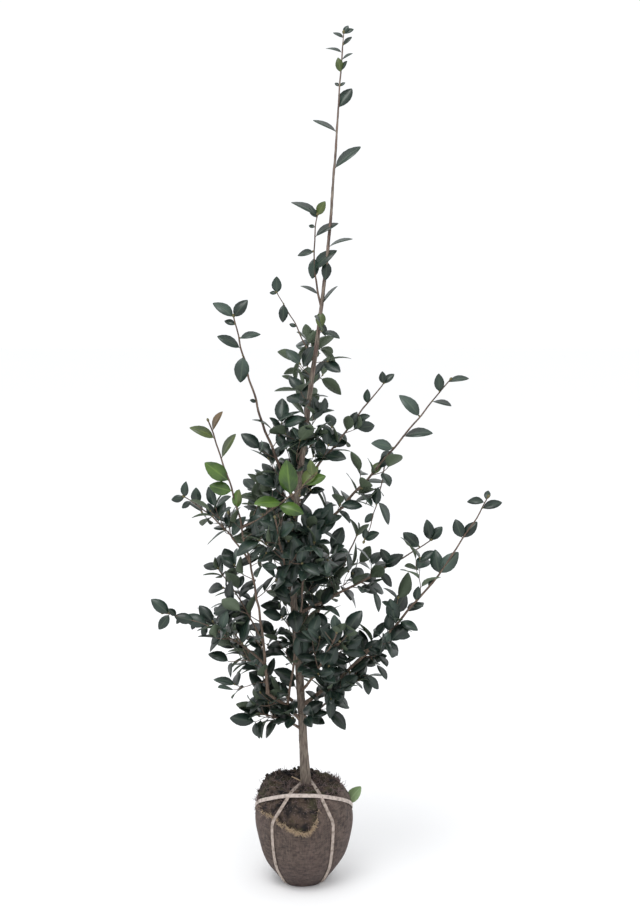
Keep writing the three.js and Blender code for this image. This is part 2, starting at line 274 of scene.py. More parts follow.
shape, foot, top = turned(64, soil_point)
bmesh.ops.contextual_create(shape, geom=foot)
bmesh.ops.contextual_create(shape, geom=top)
bmesh.ops.recalc_face_normals(shape, faces=shape.faces)
soil_mesh = mesh_of("soil", shape, smooth=True)


def blend(material, factor, low, high):
    """A colour between two others, each a hex value or an output, by a factor from 0 to 1."""
    low, high = (linear(colour) if isinstance(colour, int) else colour for colour in (low, high))
    return add(material, "Mix", {0: factor, 6: low, 7: high}, data_type="RGBA").outputs[2]


def clouds(material, place, scale, detail, low=0.0, high=1.0, most=1.0, stretch=(1.0, 1.0, 1.0), rough=0.5):
    """Soft-edged patches, so many to a metre: noise, its levels from low to high spread from 0 to most."""
    place = add(material, "Mapping", {"Vector": place, "Scale": stretch}).outputs[0]
    inputs = {"Vector": place, "Scale": scale, "Detail": detail, "Roughness": rough}
    lumps = add(material, "TexNoise", inputs).outputs["Fac"]
    return add(material, "MapRange", {0: lumps, 1: low, 2: high, 4: most}).outputs[0]


def finish(material, shader, colour, relief=None, strength=0.0, depth=0.0, invert=False):
    """Gives a shader its colour and, where it has one, its relief."""
    links = material.node_tree.links
    links.new(colour, shader.inputs["Base Color"])
    if relief is not None:
        inputs = {"Height": relief, "Strength": strength, "Distance": depth}
        links.new(add(material, "Bump", inputs, invert=invert).outputs[0], shader.inputs["Normal"])


# Damp loam: nearly black in its hollows, browner where it has dried and greenish where moss has taken, with
# specks of grit 1 to 2 mm across.
loam, loam_shader, place = new_material("damp loam", 0.95)
patches = clouds(loam, place, 60.0, 6.0)
grit = add(loam, "TexVoronoi", {"Vector": place, "Scale": 520.0}).outputs["Distance"]
dried = add(loam, "MapRange", {0: patches, 1: 0.4, 2: 0.64}).outputs[0]
earth = blend(loam, dried, 0x130F10, 0x52443A)
moss = clouds(loam, place, 34.0, 3.0, 0.52, 0.64, 0.6)
rough = add(loam, "Math", {0: grit, 1: patches}, operation="MULTIPLY").outputs[0]
finish(loam, loam_shader, blend(loam, moss, earth, 0x46452C), rough, 0.9, 1.5 * MM)

soil = piece_of("soil", soil_mesh, [loam])
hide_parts("soil_mound")

crumb_seed = random.Random(11)
shape = bmesh.new()
for number in range(CRUMBS):
    if number % 4:
        angle = crumb_seed.uniform(-math.pi, math.pi)
        spot = soil_point(crumb_seed.uniform(0.58, 0.99), angle)
        spot.z += 8 * MM * max(0.0, math.sin(angle)) * crumb_seed.random() ** 2
    else:
        angle = math.radians(crumb_seed.uniform(-200, -70))
        spot = soil_point(crumb_seed.uniform(0.4, 0.62), angle)
    size = (0.8 + 4.2 * crumb_seed.random() ** 2) * MM
    made = bmesh.ops.create_icosphere(shape, subdivisions=1, radius=size)["verts"]
    for vert in made:
        vert.co *= 1 + 0.35 * noise.noise(vert.co * 400 + spot * 90)
    matrix = Matrix.Translation(spot)
    for axis in ("X", "Z"):
        matrix = matrix @ Matrix.Rotation(crumb_seed.uniform(0, 6), 4, axis)
    bmesh.ops.transform(shape, matrix=matrix @ Matrix.Diagonal((1, 0.8, 0.6, 1)), verts=made)
piece_of("soil_crumbs", mesh_of("soil_crumbs", shape), [loam])


# ---- Root ball: hessian wrap ---------------------------------------------------------------------
# A square of coarse woven jute, stained by the soil, pulled up round the ball and folded in at the top. It is
# torn open in front, where its edge frays into loose golden fibres.

# The planes in which the bands lie, by the direction a plane faces and a point in it. In front and above the
# knee, the belt holds the straps closer together, in planes of their own.
STRAP_TOP = 199
BANDS = {
    "strap_left": [((-0.855, 0.518, 0), (-13.4, 0, 0)), ((-0.844, 0.181, 0.505), (-13.4, 0, STRAP_TOP))],
    "strap_right": [((-0.901, -0.434, 0), (23.8, 0, 0)), ((-0.902, -0.158, -0.403), (23.8, 0, STRAP_TOP))],
    "belt_band": [((0, 0.56, 0.83), (0, 0, 154))],
}
KNEE = 150 * MM
BAND_WIDTHS = {"strap_left": 6.2 * MM, "strap_right": 6.4 * MM, "belt_band": 7.5 * MM}
GROOVE_REACH = 8 * MM
GROOVE_DEPTH = 2 * MM
for planes in BANDS.values():
    planes[:] = [(Vector(faces).normalized(), Vector(through) * MM) for faces, through in planes]


def plane_at(planes, point):
    """The number of the plane in which a band lies at a place."""
    return 1 if len(planes) > 1 and point.y < 0 and point.z > KNEE else 0


def off_band(planes, point):
    """How far a place is from the plane of a band."""
    faces, through = planes[plane_at(planes, point)]
    return abs((point - through).dot(faces))


def edge_share(angle):
    """The share of the outline at which the wrap's edge lies: torn down in front, uneven elsewhere."""
    ragged = 0.02 * noise.noise(aimed(angle) * 3.1)
    ragged += 0.012 * noise.noise((aimed(angle) + UP * 2) * 14)
    return torn_share(angle) + ragged


def wrap_point(share, angle):
    """The cloth follows the ball up to its edge, gathered towards the top and pressed in by the bands."""
    edge = edge_share(angle)
    radius, height = outline_at(share * edge)
    if share * edge > 1:
        radius -= 60 * MM * (share * edge - 1)
    gathers = 0.9 * MM * math.sin(17 * angle + 3 * math.sin(2 * angle)) * max(0.0, share - 0.5) * 2
    gathers += 1.6 * MM * noise.noise(Vector((math.cos(angle) * 3, math.sin(angle) * 3, height * 22)))
    gathers *= min(1.0, radius / (60 * MM))
    radius = radius * dent(angle, height) + gathers * min(1.0, height / (12 * MM))
    point = Vector((radius * math.cos(angle), radius * math.sin(angle), height))
    for planes in BANDS.values():
        press = max(0.0, 1 - off_band(planes, point) / GROOVE_REACH)
        sink = GROOVE_DEPTH * press**0.6
        # Below the ball they lie in grooves, so that it stands flat.
        if height < 6 * MM:
            point.z += 3.0 * MM * min(1.0, 2.5 * press)
        point.x -= sink * math.cos(angle)
        point.y -= sink * math.sin(angle)
    lifted = tear_depth(angle) * max(0.0, share - 0.86) / 0.14
    return point + aimed(angle) * (2.5 * MM * lifted * abs(noise.noise(point * 60)))


CLOTH_THICKNESS = 1.1 * MM
shape, foot, _ = turned(72, wrap_point)
bmesh.ops.contextual_create(shape, geom=foot)
bmesh.ops.recalc_face_normals(shape, faces=shape.faces)
bmesh.ops.solidify(shape, geom=shape.faces[:], thickness=CLOTH_THICKNESS)
wrap_mesh = mesh_of("hessian_wrap", shape, smooth=True)

# Jute hessian: two sets of thick dull threads at right angles, 2.4 mm apart but drawn 4 mm apart so that they
# show, with uneven slubs, faded purple brown with soil rubbed into the weave and paler worn threads.
jute, jute_shader, place = new_material("jute hessian", 0.9)
parts = add(jute, "SeparateXYZ", {"Vector": place}).outputs
turn = add(jute, "Math", {0: parts["Y"], 1: parts["X"]}, operation="ARCTAN2").outputs[0]
THREAD = 4 * MM
warp_count = round(2 * math.pi * 90 * MM / THREAD)  # round the ball's mean girth
wander = clouds(jute, place, 55.0, 3.0, most=3.0)
threads = []
for across, scale in ((turn, warp_count), (parts["Z"], 2 * math.pi / THREAD)):
    course = add(jute, "Math", {0: across, 1: scale, 2: wander}, operation="MULTIPLY_ADD").outputs[0]
    threads.append(add(jute, "Math", {0: course}, operation="SINE").outputs[0])
weave = add(jute, "Math", {0: threads[0], 1: threads[1]}, operation="MULTIPLY").outputs[0]
weave = add(jute, "MapRange", {0: weave, 1: -1.0, 2: 1.0}).outputs[0]
upright = clouds(jute, place, 330.0, 4.0, stretch=(1.0, 1.0, 0.22), rough=0.7)
level = clouds(jute, place, 330.0, 4.0, stretch=(0.22, 0.22, 1.0), rough=0.7)
fuzz = add(jute, "Math", {0: upright, 1: level}, operation="ADD").outputs[0]
slub = add(jute, "MapRange", {0: fuzz, 1: 0.86, 2: 1.14}).outputs[0]

cloth = blend(jute, clouds(jute, place, 18.0, 7.0, 0.4, 0.6, rough=0.7), 0x201A19, 0x4C403B)
cloth = blend(jute, clouds(jute, place, 9.0, 2.0, 0.4, 0.6, 0.45), cloth, 0x46343A)
cloth = blend(jute, clouds(jute, place, 95.0, 3.0, 0.45, 0.62, 0.55), cloth, 0x74665E)
cloth = blend(jute, 0.38, cloth, blend(jute, weave, 0x221918, 0x6B5B53))
# Darker towards the foot of the ball: from 90 mm down to 8 mm the cloth goes up to half way to a dark purple
# brown.
darker_to_foot = add(jute, "MapRange", {0: parts["Z"], 1: 90 * MM, 2: 8 * MM, 4: 0.5}).outputs[0]
cloth = blend(jute, darker_to_foot, cloth, 0x33272A)
cloth = blend(jute, 0.34, cloth, blend(jute, slub, 0x1E1716, 0x7F6D62))
relief = add(jute, "Math", {0: weave, 1: fuzz}, operation="ADD").outputs[0]
crease = clouds(jute, place, 60.0, 3.0, stretch=(0.3, 0.3, 1.6))
relief = add(jute, "Math", {0: crease, 1: 4.0, 2: relief}, operation="MULTIPLY_ADD").outputs[0]
finish(jute, jute_shader, cloth, relief, 0.9, 0.9 * MM)

wrap = piece_of("hessian_wrap", wrap_mesh, [jute])
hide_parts("root_ball")


def tube_mesh(name, runs, sides):
    """One mesh of round tapering tubes: each run is a list of (point, radius)."""
    data = bpy.data.curves.new(name, "CURVE")
    data.dimensions = "3D"
    data.bevel_depth = 1.0
    data.bevel_resolution = max(0, sides // 2 - 2)
    data.use_fill_caps = True
    for run in runs:
        spline = data.splines.new("POLY")
        spline.points.add(len(run) - 1)
        for end, (point, radius) in zip(spline.points, run):
            end.co = (*point, 1)
            end.radius = radius
    holder = bpy.data.objects.new(name, data)
    scene.collection.objects.link(holder)
    bpy.context.view_layer.update()
    mesh = bpy.data.meshes.new_from_object(holder.evaluated_get(bpy.context.evaluated_depsgraph_get()))
    bpy.data.objects.remove(holder)
    # The end caps come loose from the tubes: they are joined on.
    shape = bmesh.new()
    shape.from_mesh(mesh)
    bpy.data.meshes.remove(mesh)
    bmesh.ops.remove_doubles(shape, verts=shape.verts, dist=0.01 * MM)
    bmesh.ops.recalc_face_normals(shape, faces=shape.faces)
    return mesh_of(name, shape, smooth=True)


def any_way(seed):
    """A loose direction, of any length up to about 1.7."""
    return Vector((seed.uniform(-1, 1), seed.uniform(-1, 1), seed.uniform(-1, 1)))


def fibre(start, direction, length, radius, seed):
    """A loose fibre that wanders as it goes, thinner to its end."""
    steps = 5
    run = []
    point = start.copy()
    heading = direction.normalized()
    for step in range(steps + 1):
        run.append((point.copy(), radius * (1 - 0.6 * step / steps)))
        heading = (heading + 0.55 * any_way(seed)).normalized()
        point += heading * (length / steps)
    return run


FRAYED_ENDS = 1000
TOP_THREADS = 560
SIDE_THREADS = 260
fringe_seed = random.Random(4)
golden = []
dull = []
for number in range(FRAYED_ENDS):
    angle = fringe_seed.uniform(-math.pi, math.pi)
    if number % 3 == 1:
        angle = math.radians(fringe_seed.uniform(-150, -66))
    if number % 3 == 2:
        angle = math.radians(-73 - 34 * fringe_seed.random() ** 1.3)
    if number % 6 == 3:
        angle = math.radians(fringe_seed.choice((178, -172, 24, 38)) + fringe_seed.uniform(-9, 9))
    # The fibres stand in tufts, and thin out towards the left end of the tear.
    tuft = noise.noise(Vector((angle * 9, 0, 5))) + 0.35 * (math.degrees(angle) > -125)
    torn = tear_depth(angle) > 0.45 and -162 < math.degrees(angle) < 0
    if torn and tuft < fringe_seed.uniform(-0.5, 0.3):
        continue
    edge = wrap_point(1.0, angle)
    outwards = aimed(angle)
    if torn:
        heading = outwards * fringe_seed.uniform(0.1, 0.9)
        heading += Vector((fringe_seed.uniform(-1.2, 1.2), 0, fringe_seed.uniform(-0.8, 1)))
        start = edge - Vector((0, 0, (6 * fringe_seed.random() ** 2.5 - 1) * MM)) + outwards * 0.8 * MM
        golden.append(fibre(start, heading, fringe_seed.uniform(3, 9) * MM, 0.36 * MM, fringe_seed))
    else:
        heading = outwards * fringe_seed.uniform(-0.9, 0.5) + Vector((0, 0, fringe_seed.uniform(0.1, 0.9)))
        dull.append(fibre(edge, heading, fringe_seed.uniform(6, 17) * MM, 0.55 * MM, fringe_seed))
for _ in range(TOP_THREADS):
    angle = fringe_seed.uniform(-math.pi, math.pi)
    start = soil_point(fringe_seed.uniform(0.57, 0.96), angle)
    heading = Vector([fringe_seed.uniform(low, high) for low, high in ((-1, 1), (-1, 1), (-0.1, 0.6))])
    dull.append(fibre(start, heading, fringe_seed.uniform(6, 20) * MM, 0.45 * MM, fringe_seed))
for _ in range(SIDE_THREADS):
    angle = math.radians(fringe_seed.uniform(-200, -71))
    heading = aimed(angle) * 0.5 + Vector((fringe_seed.uniform(-1, 1), 0, fringe_seed.uniform(-1, 1)))
    start = soil_point(fringe_seed.uniform(0.42, 0.6), angle)
    dull.append(fibre(start, heading, fringe_seed.uniform(4, 12) * MM, 0.4 * MM, fringe_seed))

# The end of a dry root stands up beside the foot of the stem.
DRY_ROOT = [((-6, -14, 211), 1.4), ((-14, -18, 217), 1.2), ((-23, -20, 222), 0.8)]
golden.append([(Vector(place) * MM, radius * MM) for place, radius in DRY_ROOT])


def streaked(name, roughness, scale, dark, light):
    """A material that wanders between two tones, so many times in a metre."""
    material, shader, place = new_material(name, roughness)
    finish(material, shader, blend(material, clouds(material, place, scale, 2.0), dark, light))
    return material


# Raw jute fibre, clean and golden where the cloth has just torn.
raw_jute = streaked("raw jute fibre", 0.7, 190.0, 0x8C735C, 0xD8C3A4)
# Root threads and old jute: dull purple brown, dusted with soil.
old_fibre = streaked("dead root fibre", 0.85, 120.0, 0x3C3038, 0x97827D)
piece_of("torn_hessian_fibres", tube_mesh("torn_hessian_fibres", golden, 4), [raw_jute])
piece_of("loose_root_fibres", tube_mesh("loose_root_fibres", dull, 4), [old_fibre])


# ---- Rubber bands --------------------------------------------------------------------------------
# Three flat bands of pale natural rubber, moulded as closed rings and stretched over the ball by hand: two
# straps that hug the stem and cross behind it and below the ball, and a belt laid over them.

BAND_THICKNESS = 1.7 * MM


def ball_reach(origin, direction, below):
    """How far a ray from inside the ball runs before it leaves the ball and the bands already on it."""
    def covered(point):
        radius = math.hypot(point.x, point.y)
        angle = math.atan2(point.y, point.x)
        raised = any(off_band(BANDS[name], point) < 0.5 * BAND_WIDTHS[name] + 1 * MM for name in below)
        extra = BAND_THICKNESS + 0.4 * MM if raised else 0.0
        if point.z > SOIL_TOP + 4 * MM + extra or point.z < BAND_THICKNESS + 0.2 * MM:
            return False
        low, high = 0.0, 1.0
        for _ in range(18):
            middle = (low + high) / 2
            if outline_at(middle)[1] < point.z:
                low = middle
            else:
                high = middle
        rim_radius, rim_height = outline_at(low)
        # Above the rim of the wrap, the heap of soil slopes inwards.
        if low > 0.999:
            rim_radius = 80 * MM - (point.z - rim_height) * 1.2
        return radius < rim_radius * dent(angle, point.z) + extra

    near, far = 0.0, 0.3
    for _ in range(24):
        middle = (near + far) / 2
        if covered(origin + direction * middle):
            near = middle
        else:
            far = middle
    return near


def tight_line(faces, through, below):
    """A band's inner line in one plane, as tight as a stretched band lies: it spans every hollow."""
    ahead = UP.cross(faces).normalized() if abs(faces.z) < 0.7 else Vector((1, 0, 0))
    other = faces.cross(ahead)
    middle = Vector((0, 0, 100 * MM))
    middle -= faces * (middle - through).dot(faces)
    flat = []
    rays = 240
    for step in range(rays):
        angle = 2 * math.pi * step / rays
        reach = ball_reach(middle, ahead * math.cos(angle) + other * math.sin(angle), below)
        flat.append(Vector((reach * math.cos(angle), reach * math.sin(angle))))
    return [middle + ahead * flat[i].x + other * flat[i].y for i in geometry.convex_hull_2d(flat)]


def band_ring(name, below):
    """The band's inner line in even steps, rounded at its corners, with the direction that the band faces."""
    planes = BANDS[name]
    line = [(p, planes[0][0]) for p in tight_line(*planes[0], below) if not plane_at(planes, p)]
    if len(planes) > 1:
        turned_in = [(p, planes[1][0]) for p in tight_line(*planes[1], below) if plane_at(planes, p)]
        turned_in.sort(key=lambda item: item[0].y + item[0].z)
        # It goes in where the first line has its widest gap above the knee.
        gaps = [(p - line[i - 1][0]).length * (p.z > KNEE - 8 * MM) for i, (p, _) in enumerate(line)]
        gap = gaps.index(max(gaps))
        if line[gap - 1][0].z > line[gap][0].z:
            turned_in.reverse()
        line[gap:gap] = turned_in
    step = 2.5 * MM
    even = []
    for (low, low_faces), (high, high_faces) in zip(line, line[1:] + line[:1]):
        count = max(1, round((high - low).length / step))
        even += [(low.lerp(high, k / count), low_faces.lerp(high_faces, k / count)) for k in range(count)]
    ring = []
    for number in range(len(even)):
        near = [even[(number + k) % len(even)] for k in range(-5, 6)]
        nearer = near[2:-2]
        middle = sum((point for point, _ in nearer), Vector()) / len(nearer)
        ring.append((middle, sum((faces for _, faces in near), Vector()).normalized()))
    return ring


def rubber_material(name, clean, soiled):
    """Natural rubber: a pale tan matt skin, slightly chalky, with soil in its scratches."""
    rubber, shader, place = new_material(name, 0.62)
    grime = clouds(rubber, place, 160.0, 5.0, 0.42, 0.72)
    finish(rubber, shader, blend(rubber, grime, clean, soiled), grime, 0.3, 0.2 * MM)
    return rubber


# The straps have lain in the soil, and the belt over them has stayed cleaner.
strap_rubber = rubber_material("soiled natural rubber", 0xAEA096, 0x74685F)
belt_rubber = rubber_material("natural rubber", 0xC2B5AD, 0x8C8078)

for number, name in enumerate(BANDS):
    line = band_ring(name, list(BANDS)[:number])
    shape = bmesh.new()
    bmesh.ops.create_circle(shape, segments=len(line), radius=1)
    near_ring = list(shape.verts)
    far_ring, _ = next_ring(shape, near_ring, list(shape.edges))
    for near, far, (point, faces) in zip(near_ring, far_ring, line):
        near.co = point - faces * BAND_WIDTHS[name] / 2
        far.co = point + faces * BAND_WIDTHS[name] / 2
    bmesh.ops.recalc_face_normals(shape, faces=shape.faces)
    rubber = belt_rubber if name == "belt_band" else strap_rubber
    ring = piece_of(name + "_ring", mesh_of(name + "_ring", shape), [rubber])
    wall = ring.modifiers.new("wall", "SOLIDIFY")
    wall.thickness = BAND_THICKNESS
    wall.offset = 1.0
    edge = ring.modifiers.new("edge", "BEVEL")
    edge.width = 0.45 * MM
    edge.segments = 2
    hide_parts(name)


# ---- Stem ----------------------------------------------------------------------------------------
# One slender woody stem that leans left, then right, with a flare where the roots start. Smooth grey-tan bark
# with fine lengthwise cracks low down, browner and smoother towards the thin leader.

def rings_of(node):
    """The middle and the radius of each ring of a limb's solid, from its foot up."""
    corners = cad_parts[node].data.vertices
    points = sorted({tuple(round(c, 6) for c in v.co) for v in corners}, key=lambda point: point[2])
    groups = [[points[0]]]
    for point in points[1:]:
        if point[2] - groups[-1][-1][2] > 15 * MM:
            groups.append([])
        groups[-1].append(point)
    rings = []
    for group in groups:
        around = [Vector(p) for p in group]
        middle = sum(around, Vector()) / len(around)
        rings.append((middle, max((p - middle).length for p in around)))
    return rings


noise.seed_set(3)  # or noise vectors differ from run to run


def wavering(point, size, scale, seed):
    """A smooth shift in every direction that depends only on the place."""
    return noise.noise_vector(point * scale + Vector((seed, 0, 0))) * size


stem_rings = rings_of("trunk")


def stem_at(height):
    """The middle and the radius of the stem at a height, rounded between the rings."""
    place = 0
    while place < len(stem_rings) - 2 and stem_rings[place + 1][0].z < height:
        place += 1
    (low, low_radius), (high, high_radius) = stem_rings[place], stem_rings[place + 1]
    t = min(max((height - low.z) / (high.z - low.z), 0.0), 1.0)
    before = stem_rings[max(place - 1, 0)][0]
    after = stem_rings[min(place + 2, len(stem_rings) - 1)][0]
    bent = (2 * before - 5 * low + 4 * high - after) * t**2
    middle = 0.5 * (2 * low + (high - before) * t + bent + (3 * low - before - 3 * high + after) * t**3)
    return middle, low_radius + (high_radius - low_radius) * t


def bark_relief(mesh, depth, scale):
    """Moves the skin in and out: long shallow ridges along the limb, with smaller lumps between them."""
    mesh.update()
    normals = [v.normal.copy() for v in mesh.vertices]
    for vert, normal in zip(mesh.vertices, normals):
        stretched = Vector((vert.co.x, vert.co.y, vert.co.z * 0.16)) * scale
        ridge = noise.fractal(stretched, 0.8, 2.0, 3) + 0.5 * noise.noise(vert.co * scale * 0.7)
        vert.co += normal * ridge * depth
    mesh.update()


stem_tip = stem_rings[-1][0].z
stem_line = []
height = stem_rings[0][0].z
while height < stem_tip:
    middle, radius = stem_at(height)
    # The leader is slimmer than its solid.
    slimmer = 1 - 0.14 * min(1.0, max(0.0, height - 0.95) / 0.25)
    stem_line.append((middle + wavering(middle, 0.9 * MM, 18, 3), radius * slimmer))
    height += 4 * MM
stem_line.append((stem_at(stem_tip)[0], 1.1 * MM))
stem_mesh = tube_mesh("stem", [stem_line], 18)
bark_relief(stem_mesh, 0.45 * MM, 330)


def bark_material(name, old, young, young_height, roughness):
    """Bark that is grey-tan and cracked below and turns to its young colour over a stretch of height."""
    bark, shader, place = new_material(name, roughness)
    height = add(bark, "SeparateXYZ", {"Vector": place}).outputs["Z"]
    cracks = clouds(bark, place, 520.0, 5.0, 0.36, 0.62, stretch=(1.0, 1.0, 0.12))
    blotch = clouds(bark, place, 42.0, 4.0, 0.38, 0.66)
    youth = add(bark, "MapRange", {0: height, 1: young_height[0], 2: young_height[1]}).outputs[0]
    lift = add(bark, "Math", {0: blotch, 1: 0.3}, operation="MULTIPLY").outputs[0]
    youth = add(bark, "Math", {0: youth, 1: blotch, 2: lift}, operation="MULTIPLY_ADD", use_clamp=True)
    colour = blend(bark, youth.outputs[0], blend(bark, cracks, *old), blend(bark, cracks, *young))
    finish(bark, shader, colour, cracks, 0.55, 0.35 * MM)
    return bark


# Camellia bark: thin and smooth, grey with tan where it has rubbed, with fine cracks a few tenths of a
# millimetre deep.
stem_bark = bark_material("camellia bark", (0x4F473F, 0x857A6E), (0x4A3B38, 0x7C665C), (0.5, 1.3), 0.8)
stem = piece_of("stem", stem_mesh, [stem_bark])
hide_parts("trunk")


# ---- Boughs --------------------------------------------------------------------------------------
# Each bough leaves the stem or another bough from a swollen collar, tapers all the way and carries on as the
# leafy shoot at its end. Older ones are grey-tan, and this year's wood is thin, smooth and reddish brown.

# For each bough: its parent, the height on it, bearing (0 right, 90 back), level reach, rise, bow outwards
# and radii, in millimetres and degrees, and the share of its length at which its leaves start.
BOUGHS = {
    "left_low": ("trunk", 328, -147, 91, 80, -5, (4.6, 3.6), 1.0),
    "left_tall": ("left_low", 402, -160, 119, 556, -22, (3.6, 1.9), 0.6),
    "front_spray": ("left_tall", 738, -12, 152, 118, 8, (2.2, 1.6), 0.22),
    "front_upright": ("left_low", 368, -13, 43, 375, 4, (3.2, 1.8), 0.62),
    "left_foot": ("trunk", 312, -173, 98, 38, -6, (3.4, 1.8), 0.3),
    "left_outer_low": ("left_tall", 460, 177, 212, 103, -21, (2.6, 1.5), 0.3),
    "left_middle": ("left_tall", 506, 152, 108, 145, -5, (2.4, 1.4), 0.3),
    "left_outer_high": ("left_tall", 668, 155, 155, 122, -15, (2.4, 1.4), 0.26),
    "left_upper": ("trunk", 772, 168, 124, 378, 13, (4.2, 1.8), 0.56),
    "left_twig": ("trunk", 1053, 173, 76, 143, -1, (1.9, 1.2), 0.34),
    "twin_leader": ("trunk", 1160, 180, 4, 186, 12, (2.6, 1.4), 0.42),
    "right_crest": ("trunk", 800, 19, 186, 214, 2, (3.6, 1.5), 0.24),
    "right_upper": ("trunk", 660, -8, 312, 372, 6, (4.6, 1.5), 0.26),
    "right_hanging": ("right_upper", 872, -150, 52, -172, 6, (1.6, 1.1), 0.3),
    "right_middle": ("trunk", 548, 11, 286, 146, 5, (4.2, 1.5), 0.26),
    "right_lower": ("trunk", 362, -9, 370, 446, 33, (4.8, 1.5), 0.26),
    "right_foot": ("trunk", 318, -12, 122, 112, -8, (3.6, 1.6), 0.3),
    "front_low": ("trunk", 392, -62, 158, 168, 10, (3.8, 1.8), 0.34),
    "front_middle": ("trunk", 590, -104, 136, 190, 8, (3.6, 1.8), 0.3),
    "back_low": ("trunk", 404, 84, 214, 196, 12, (4, 1.8), 0.3),
    "back_left_low": ("trunk", 352, 146, 202, 170, 10, (4, 1.8), 0.32),
    "back_right": ("trunk", 486, 52, 204, 200, 10, (4, 1.8), 0.32),
    "back_left_high": ("trunk", 566, 112, 178, 240, 12, (4, 1.8), 0.3),
    "back_high": ("trunk", 856, 84, 128, 236, 10, (3, 1.6), 0.34),
}
BOUGH_STEP = 5 * MM
TIP_SHORT = 12 * MM  # the end leaves make up the rest


def point_at_height(line, height):
    """The place on a limb's line at a height."""
    for (low, _), (high, _) in zip(line, line[1:]):
        if low.z <= height <= high.z:
            return low.lerp(high, (height - low.z) / max(high.z - low.z, 1e-6))
    return line[-1][0].copy()


def bough_line(parent_line, at, bearing, reach, rise, bow, radii):
    """The bough's points and radii from the middle of its parent to its tip."""
    start = point_at_height(parent_line, at * MM)
    outwards = aimed(math.radians(bearing))
    tip = start + outwards * reach * MM + Vector((0, 0, rise * MM))
    length = math.hypot(reach, rise) * MM
    control = start.lerp(tip, 0.5) + (outwards * rise - Vector((0, 0, reach))) * (2 * bow * MM**2 / length)
    steps = max(6, round(length / BOUGH_STEP))
    line = []
    for step in range(steps + 1):
        t = step / steps * (1 - TIP_SHORT / length)
        point = start * (1 - t) ** 2 + control * 2 * t * (1 - t) + tip * t * t
        point += wavering(point, 3.2 * MM * min(1.0, 4 * t), 26, bearing)
        radius = (0.88 - 0.12 * min(1.0, 3 * t)) * (radii[0] + (radii[1] - radii[0]) * t) * MM
        collar = 0.45 * math.exp(-t * length / (9 * MM))
        line.append((point, radius * (1 + collar)))
    return line


lines = {"trunk": stem_line}
for name, (parent, *course, _) in BOUGHS.items():
    lines[name] = bough_line(lines[parent], *course)

bough_mesh = tube_mesh("boughs", [lines[name] for name in BOUGHS], 10)
bark_relief(bough_mesh, 0.2 * MM, 480)
# Young camellia wood: reddish brown and smooth, paler where the skin has started to flake.
young_bark = bark_material("young camellia bark", (0x4B3D34, 0x7A6758), (0x33261F, 0x5E4A3E),
                           (0.35, 0.9), 0.65)
boughs = piece_of("boughs", bough_mesh, [young_bark])
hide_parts(*["bough_" + name for name in BOUGHS])


# ---- Twigs ---------------------------------------------------------------------------------------
# Short side shoots from the boughs and, in the thick middle of the shrub, from the stem itself: this year's
# smooth brown wood. Each carries a few leaves in turn and ends in one leaf or two, often with a bud.

# For each bough: the turn of the first leaf round it in degrees, how many side twigs grow in its leafy part,
# how long they are, how far apart its own leaves stand, up to which share of that part, and their tone.
# Of these tones, the darkest copy is painted shade for the boughs in the thick middle and low down, and the
# greyest copy is painted light and sheen.
HABIT = {
    "left_tall": (90, 1, 30, 24, 0.05, "mid"),
    "front_spray": (60, 3, 34, 19, 0.3, "mid"),
    "front_upright": (200, 7, 56, 20, 1, "deep"),
    "left_foot": (30, 8, 46, 17, 1, "deep"),
    "left_outer_low": (100, 5, 40, 20, 0.3, "deep"),
    "left_middle": (80, 6, 44, 18, 1, "deep"),
    "left_outer_high": (90, 5, 40, 18, 0.64, "mid"),
    "left_upper": (90, 0, 0, 30, 0, "mid"),
    "twin_leader": (0, 0, 0, 30, 0.1, "deep"),
    "left_twig": (0, 0, 0, 44, 0, "grey"),
    "right_crest": (90, 4, 34, 20, 0.56, "mid"),
    "right_upper": (90, 4, 38, 24, 0.44, "mid"),
    "right_hanging": (90, 1, 20, 22, 0.5, "mid"),
    "right_middle": (90, 5, 36, 20, 0.5, "deep"),
    "right_lower": (90, 4, 44, 21, 0.38, "deep"),
    "right_foot": (60, 5, 38, 20, 1, "deep"),
    "front_low": (0, 7, 60, 20, 1, "deep"),
    "front_middle": (90, 7, 56, 19, 1, "mid"),
    "back_low": (0, 8, 60, 22, 1, "deep"),
    "back_left_low": (40, 8, 60, 22, 1, "deep"),
    "back_right": (80, 7, 50, 19, 0.66, "deep"),
    "back_left_high": (120, 10, 62, 19, 1, "mid"),
    "back_high": (160, 7, 54, 20, 1, "mid"),
}
